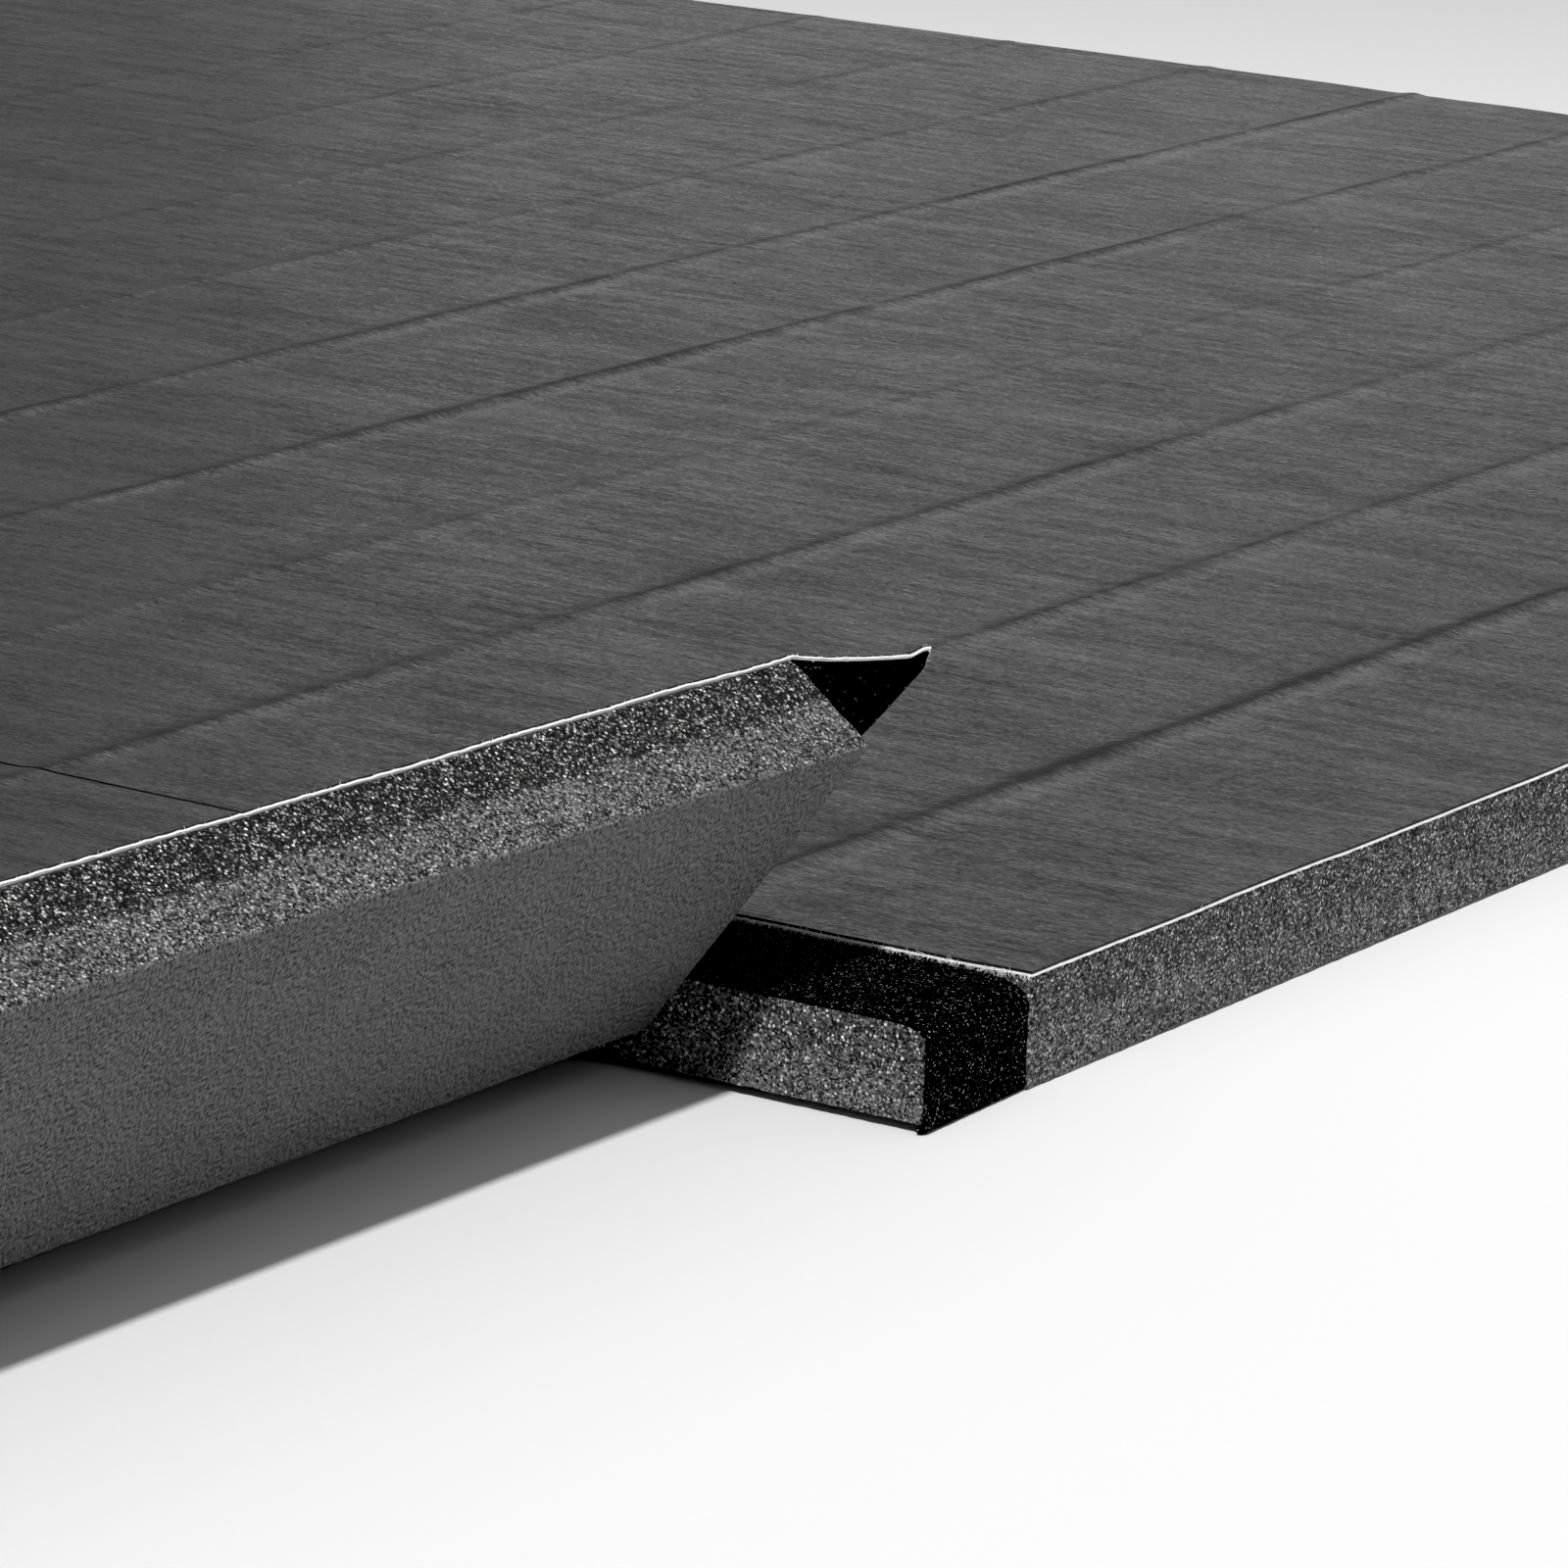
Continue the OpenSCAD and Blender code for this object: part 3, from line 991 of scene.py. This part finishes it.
class MAT_OT_wrap(bpy.types.Operator):
    """Builds the loop pile wrapped round the first strip's tongue."""

    bl_idname = "mat.wrap"
    bl_label = "Loop pile wrap"

    def outline(self, grow):
        """The wrap's outer or inner line in Y and Z: along the top, down the elliptical shoulder,
        down the near side, round the lower edge and back under the foam."""
        foam = bpy.context.scene.mat_foam
        pile = 1.5 * MM
        near, far = strip_span(1)
        far -= 0.3 * MM
        side = near + (0 if grow else pile)
        top, bottom = LOOP_TOP - (0 if grow else pile), (0 if grow else 2.7 * MM)
        wide, high = foam.shoulder_w, foam.shoulder_h
        if not grow:
            wide, high = wide / 2, high / 2
        turn = np.linspace(0, math.pi / 2, 14)
        low_r = (2.6 if grow else 1.4) * MM
        roof = between(far, side + wide, 1.1 * MM)[:-1]
        flat_top = np.stack([roof, np.full(len(roof), top)], 1)
        shoulder = np.stack([side + wide - wide * np.sin(turn), top - high + high * np.cos(turn)], 1)
        down = np.linspace(top - high, bottom + low_r, 20)[1:-1]
        near_side = np.stack([np.full(len(down), side), down], 1)
        turn = np.linspace(0, math.pi / 2, 5)
        foot = np.stack([side + low_r - low_r * np.cos(turn), bottom + low_r - low_r * np.sin(turn)], 1)
        back = np.linspace(side + low_r, far, len(flat_top) // 2)[1:]
        under = np.stack([back, np.full(len(back), bottom)], 1)
        return np.concatenate([flat_top, shoulder, near_side, foot, under])

    def execute(self, context):
        tape = context.scene.mat_tape
        outer, inner = self.outline(True), self.outline(False)
        middle = (outer + inner) / 2
        count = len(outer)
        xs = crowded(TONGUE_END - TONGUE_REACH, -0.2 * MM, 1.1 * MM, 2 * MM, 0.5 * MM)
        # the band's thickness is eased at both cut ends
        end = np.minimum(xs - xs[0], xs[-1] - xs) / (1.6 * MM)
        ease = np.sqrt(1 - (1 - np.clip(end, 0.15, 1)) ** 2)[:, None, None]
        loop = np.concatenate([
            middle[None] + (outer - middle)[None] * ease,
            (middle[None] + (inner - middle)[None] * ease)[:, ::-1],
        ], axis=1)
        rings = np.concatenate([np.broadcast_to(xs[:, None, None], (*loop.shape[:2], 1)), loop], 2)
        verts, quads = tube_shell(rings)
        quads = quads[:, ::-1]
        caps = []
        for ring in (0, len(xs) - 1):
            base = ring * 2 * count
            a = base + np.arange(count - 1)
            mirror = base + 2 * count - 1 - np.arange(count - 1)
            cap = np.stack([a, a + 1, mirror - 1, mirror], 1)
            caps.append(cap if ring else cap[:, ::-1])
        skin_side = np.tile(np.arange(2 * count) < count, len(xs))
        centre = np.array([0, NEAR + 60 * MM, 16 * MM])
        inward = centre - verts
        inward[:, 0] = 0
        inward /= np.linalg.norm(inward, axis=1)[:, None]
        rough = 0.5 + 0.35 * noise(verts, 1.4 * MM, 41) + 0.3 * noise(verts, 0.8 * MM, 42)
        rough = tape.pile * rough
        inward = np.where((verts[:, 2] > LOOP_TOP - 3 * MM)[:, None], (0, 0, -1), inward)
        verts = verts + inward * (rough * skin_side)[:, None]
        verts[:, 2] = np.maximum(verts[:, 2], 0)
        tufts, tuft_faces = self.tufts(outer, tape.tufts)
        shells = [(bulged(verts), np.concatenate([quads, *caps])), (bulged(tufts), tuft_faces)]
        piece("right_loop_wrap", shells, "loop_pile", "right", 1, ("right_loop_wrap_01",))
        return {"FINISHED"}

    def tufts(self, outer, count):
        """Loose loops that stand on the pile, spread evenly by length along the outline."""
        rng = np.random.default_rng(5)
        steps = np.linalg.norm(np.diff(outer, axis=0), axis=1)
        along = np.concatenate([[0], np.cumsum(steps)])
        s = rng.random(count) * along[-1] * 0.62
        y, z = (np.interp(s, along, line) for line in outer.T)
        next_y, next_z = (np.interp(s + 1e-4, along, line) for line in outer.T)
        way = np.stack([next_y - y, next_z - z], 1)
        way /= np.linalg.norm(way, axis=1)[:, None] + 1e-12
        x = TONGUE_END + 0.6 * MM + rng.random(count) * (-TONGUE_END - 1.4 * MM)
        out = np.stack([np.zeros(count), -np.abs(way[:, 1]), np.abs(way[:, 0])], 1)
        out += rng.normal(scale=0.5, size=(count, 3))
        out /= np.linalg.norm(out, axis=1)[:, None]
        roots = np.stack([x, y, z], 1) - out * 0.45 * MM
        roots[:, 2] = np.maximum(roots[:, 2], 0.6 * MM)
        out[:, 2] = np.where(roots[:, 2] < 2 * MM, np.abs(out[:, 2]), out[:, 2])
        lengths = np.full(count, 0.75 * MM) * (0.6 + 0.6 * rng.random(count))
        return threads(roots, out, lengths, 0.07 * MM, 6)


class MAT_OT_fray(bpy.types.Operator):
    """Builds the loose threads along the cut edges of the backing."""

    bl_idname = "mat.fray"
    bl_label = "Frayed threads"

    def execute(self, context):
        near, far = strip_span(1)
        out, aside = (0, -1, -0.1), (-1, 0, -0.3)
        left, right = (SIDE["left"], near, 0), (SIDE["right"], near, 0)
        start, end = (0, near, 0), (0, far, 0)
        edges = [frayed_edge(left, (LEFT_END, near, 0), out, 1, 1500, 1.1 * MM, 51)]
        piece("left_near_fray", edges, "backing", "left", 1, ())
        edges = [
            frayed_edge(start, right, out, 1, 1300, 0.9 * MM, 52),
            frayed_edge(start, end, aside, 1, 900, 1.7 * MM, 53),
        ]
        piece("right_near_fray", edges, "backing", "right", 1, ())
        return {"FINISHED"}


class MAT_OT_stage(bpy.types.Operator):
    """Builds the floor, the light and the camera."""

    bl_idname = "mat.stage"
    bl_label = "Stage"

    def execute(self, context):
        stage = context.scene.mat_stage
        reach = 40.0
        mesh = bpy.data.meshes.new("floor")
        corners = [(-reach, -reach, 0), (reach, -reach, 0), (reach, reach, 0), (-reach, reach, 0)]
        mesh.from_pydata(corners, [], [(0, 1, 2, 3)])
        mesh.materials.append(material("floor"))
        floor = bpy.data.objects.new("floor", mesh)
        context.scene.collection.objects.link(floor)
        self.light(context, stage)
        self.camera(context, stage)
        view = context.scene.view_settings
        view.view_transform = "Standard"
        view.use_curve_mapping = True
        view.curve_mapping.black_level = (stage.black,) * 3
        view.curve_mapping.update()
        return {"FINISHED"}

    def light(self, context, stage):
        """One soft sun from the near left, a soft box on the right, and a sky that is brighter
        overhead than at the horizon."""
        lamp = bpy.data.lights.new("key", "SUN")
        lamp.energy = stage.sun
        lamp.angle = math.radians(1.8)
        key = bpy.data.objects.new("key", lamp)
        key.rotation_euler = Vector((0.81, 0.40, -1.0)).to_track_quat("-Z", "Y").to_euler()
        context.scene.collection.objects.link(key)
        box = bpy.data.lights.new("soft", "AREA")
        box.shape, box.size, box.size_y = "RECTANGLE", 3.0, 1.0
        box.energy = stage.soft
        soft = bpy.data.objects.new("soft", box)
        soft.location = (4.2, 0.9, 0.85)
        soft.rotation_euler = (Vector((0.6, 0.2, 0)) - soft.location).to_track_quat("-Z", "Y").to_euler()
        soft.visible_camera = False
        context.scene.collection.objects.link(soft)
        world = bpy.data.worlds.new("studio")
        world.use_nodes = True
        tree = world.node_tree
        place = tree.nodes.new("ShaderNodeTexCoord")
        split = tree.nodes.new("ShaderNodeSeparateXYZ")
        ramp = tree.nodes.new("ShaderNodeValToRGB")
        ramp.color_ramp.elements[0].color = (*stage.horizon, 1)
        ramp.color_ramp.elements[1].color = (*stage.sky, 1)
        ramp.color_ramp.elements[1].position = 0.6
        tree.links.new(place.outputs["Generated"], split.inputs[0])
        tree.links.new(split.outputs["Z"], ramp.inputs[0])
        tree.links.new(ramp.outputs[0], tree.nodes["Background"].inputs[0])
        context.scene.world = world

    def camera(self, context, stage):
        """A long lens at the given place, turned by heading, dip and roll."""
        data = bpy.data.cameras.new("camera")
        data.lens = stage.lens
        data.sensor_width = 36
        data.clip_end = 200
        camera = bpy.data.objects.new("camera", data)
        head, dip, roll = stage.heading, stage.dip, stage.roll
        ahead = Vector((math.cos(head) * math.cos(dip), math.sin(head) * math.cos(dip), -math.sin(dip)))
        right = Vector((math.sin(head), -math.cos(head), 0))
        up = right.cross(ahead)
        across = math.cos(roll) * right + math.sin(roll) * up
        upward = -math.sin(roll) * right + math.cos(roll) * up
        turn = Matrix((across, upward, -ahead)).transposed().to_4x4()
        camera.matrix_world = Matrix.Translation(stage.place) @ turn
        context.scene.collection.objects.link(camera)
        context.scene.camera = camera


GROUPS = {"mat_skin": MatSkin, "mat_foam": MatFoam, "mat_tape": MatTape, "mat_stage": MatStage}
OPERATORS = (
    MAT_OT_stage, MAT_OT_foam, MAT_OT_skin, MAT_OT_flap, MAT_OT_tapes, MAT_OT_wrap, MAT_OT_fray
)


class MAT_PT_panel(bpy.types.Panel):
    """Lists the sizes, colours and operators of the mat."""

    bl_idname = "MAT_PT_panel"
    bl_label = "Gym mat"
    bl_space_type = "VIEW_3D"
    bl_region_type = "UI"
    bl_category = "Gym mat"

    def draw(self, context):
        for name, group in GROUPS.items():
            box = self.layout.box()
            for prop in group.__annotations__:
                box.prop(getattr(context.scene, name), prop)
        for operator in OPERATORS:
            self.layout.operator(operator.bl_idname)


def register():
    """Adds the classes and the scene's property groups."""
    for name, group in GROUPS.items():
        bpy.utils.register_class(group)
        setattr(bpy.types.Scene, name, bpy.props.PointerProperty(type=group))
    for item in (*OPERATORS, MAT_PT_panel):
        bpy.utils.register_class(item)


def unregister():
    """Takes the classes and the property groups away again."""
    for item in (MAT_PT_panel, *reversed(OPERATORS)):
        bpy.utils.unregister_class(item)
    for name, group in reversed(GROUPS.items()):
        delattr(bpy.types.Scene, name)
        bpy.utils.unregister_class(group)


def main():
    """Registers the add-on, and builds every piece."""
    register()
    for operator in ("stage", "foam", "skin", "flap", "tapes", "wrap", "fray"):
        getattr(bpy.ops.mat, operator)()


if __name__ == "__main__":
    main()
